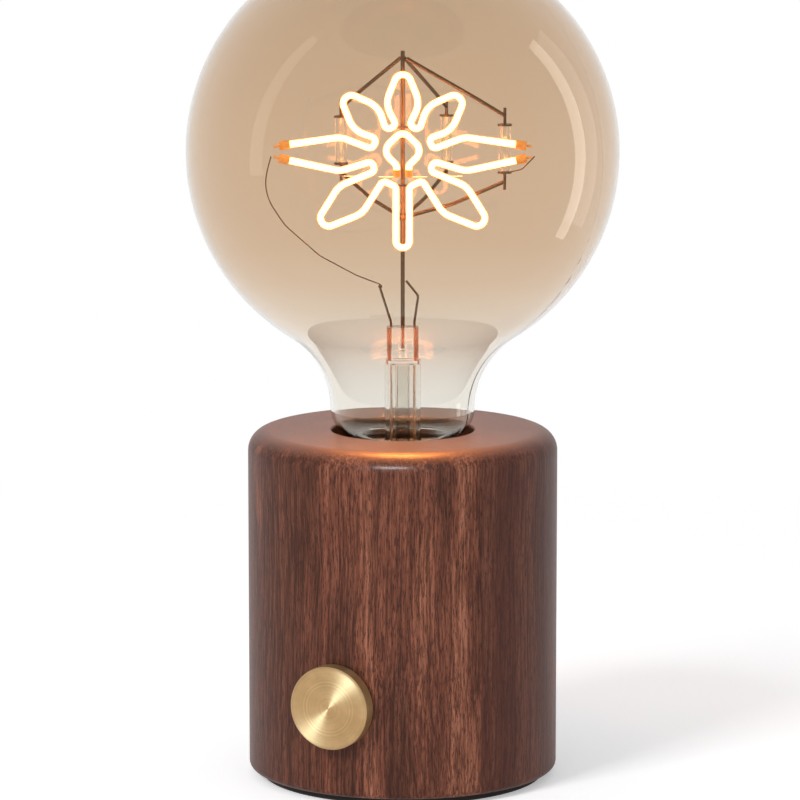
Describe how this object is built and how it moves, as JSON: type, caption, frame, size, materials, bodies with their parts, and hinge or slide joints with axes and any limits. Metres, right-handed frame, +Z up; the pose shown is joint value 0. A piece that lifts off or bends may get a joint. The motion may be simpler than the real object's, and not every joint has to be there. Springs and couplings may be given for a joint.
{
  "type": "bare bulb table lamp",
  "caption": "Turned wooden cylinder lamp base with a large bare amber globe bulb in its top, a glowing bent filament figure inside and a round metal dimmer knob low on the side.",
  "frame": {"origin": "centre of the foot's underside, where the lamp stands", "axes": "+Z up along the lamp's axis, knob shaft along -Y, cord outlet along +Y; the glowing figure faces 25 degrees towards +X from -Y"},
  "size_m": [0.125, 0.125, 0.2453],
  "materials": {
    "walnut": "oiled walnut, vertical grain, satin",
    "foot_rubber": "matt black foam rubber",
    "steel_plate": "plain rolled steel",
    "zinc_steel": "zinc plated",
    "black_steel": "black oxide",
    "phenolic": "moulded phenolic, satin",
    "holder_ceramic": "unglazed steatite",
    "contact_brass": "rolled brass",
    "spun_brass": "solid brass, face turned in fine rings",
    "circuit_board": "glass epoxy board",
    "nylon": "natural nylon",
    "outlet_nylon": "black nylon, satin",
    "ferrite": "sintered ferrite",
    "film_yellow": "epoxy cast case",
    "fuse_glass": "clear tube",
    "wire_sleeve": "silicone sleeve",
    "tinned_wire": "tinned",
    "cap_glass": "black glass",
    "nickel_cap": "nickel plated, drawn",
    "cement": "basing cement",
    "amber_glass": "blown glass with an amber film, fading at the neck",
    "clear_glass": "clear lead-free glass",
    "frame_wire": "drawn nickel wire",
    "ferrule_metal": "crimped sleeve, lit orange",
    "led_strand": "phosphor silicone, lit warm"
  },
  "bodies": {
    "base": {"walnut_body": "walnut", "foot_pad": "foot_rubber", "base_plate": "steel_plate", "base_plate_screws": "zinc_steel", "nipple": "zinc_steel", "nipple_nuts": "zinc_steel", "nipple_washer": "zinc_steel", "lampholder_dome": "phenolic", "lampholder_skirt": "phenolic", "terminal_block": "holder_ceramic", "terminals": "contact_brass", "terminal_screws": "zinc_steel", "contact_rivets": "contact_brass", "centre_contact": "contact_brass", "screw_shell": "contact_brass", "dimmer_board": "circuit_board", "board_pillars": "nylon", "board_screws": "zinc_steel", "choke": "ferrite", "film_capacitor": "film_yellow", "triac": "phenolic", "fuse": "fuse_glass", "wire_connector": "nylon", "holder_wires": "wire_sleeve", "pot_frame": "zinc_steel", "pot_case": "zinc_steel", "pot_wafer": "circuit_board", "pot_tags": "tinned_wire", "pot_leads": "wire_sleeve", "pot_nut": "zinc_steel", "pot_washer": "zinc_steel", "cord_outlet": "outlet_nylon", "cord_outlet_nut": "outlet_nylon"},
    "knob": {"knob_cap": "spun_brass", "knob_set_screw": "black_steel", "pot_shaft": "zinc_steel", "pot_rotor": "nylon", "pot_wiper": "contact_brass"},
    "bulb_tip": {"tip_contact": "tinned_wire"},
    "bulb": {"cap_insulator": "cap_glass", "cap_shell": "nickel_cap", "cap_cement": "cement", "driver_board": "circuit_board", "driver_parts": "phenolic", "cap_wires": "tinned_wire", "glass_envelope": "amber_glass", "stem_glass": "clear_glass", "exhaust_tube": "clear_glass", "support_rod": "frame_wire", "lead_wires": "frame_wire", "weld_beads": "frame_wire", "upper_arms": "frame_wire", "lower_arms": "frame_wire", "glass_insulators": "clear_glass", "flower_strand": "led_strand", "sprig_strand": "led_strand", "heart_strand": "led_strand", "strand_ferrules": "ferrule_metal", "filament_ties": "frame_wire", "tail_wires": "frame_wire"}
  },
  "joints": [
    {"name": "knob_turn", "type": "hinge", "parent": "base", "child": "knob", "pos_m": [0, -0.048, 0.029], "axis": [0, -1, 0], "range_deg": [-150, 150]},
    {"name": "bulb_lift", "type": "slide", "parent": "base", "child": "bulb_tip", "axis": [0, 0, 1], "range_m": [0, 0.0128]},
    {"name": "bulb_screw", "type": "hinge", "parent": "bulb_tip", "child": "bulb", "pos_m": [0, 0, 0.0688], "axis": [0, 0, 1], "range_deg": [0, 1260]}
  ],
  "couplings": [
    {"joint": "bulb_lift", "follows": "bulb_screw", "m_per_rad": 0.00057757}
  ]
}
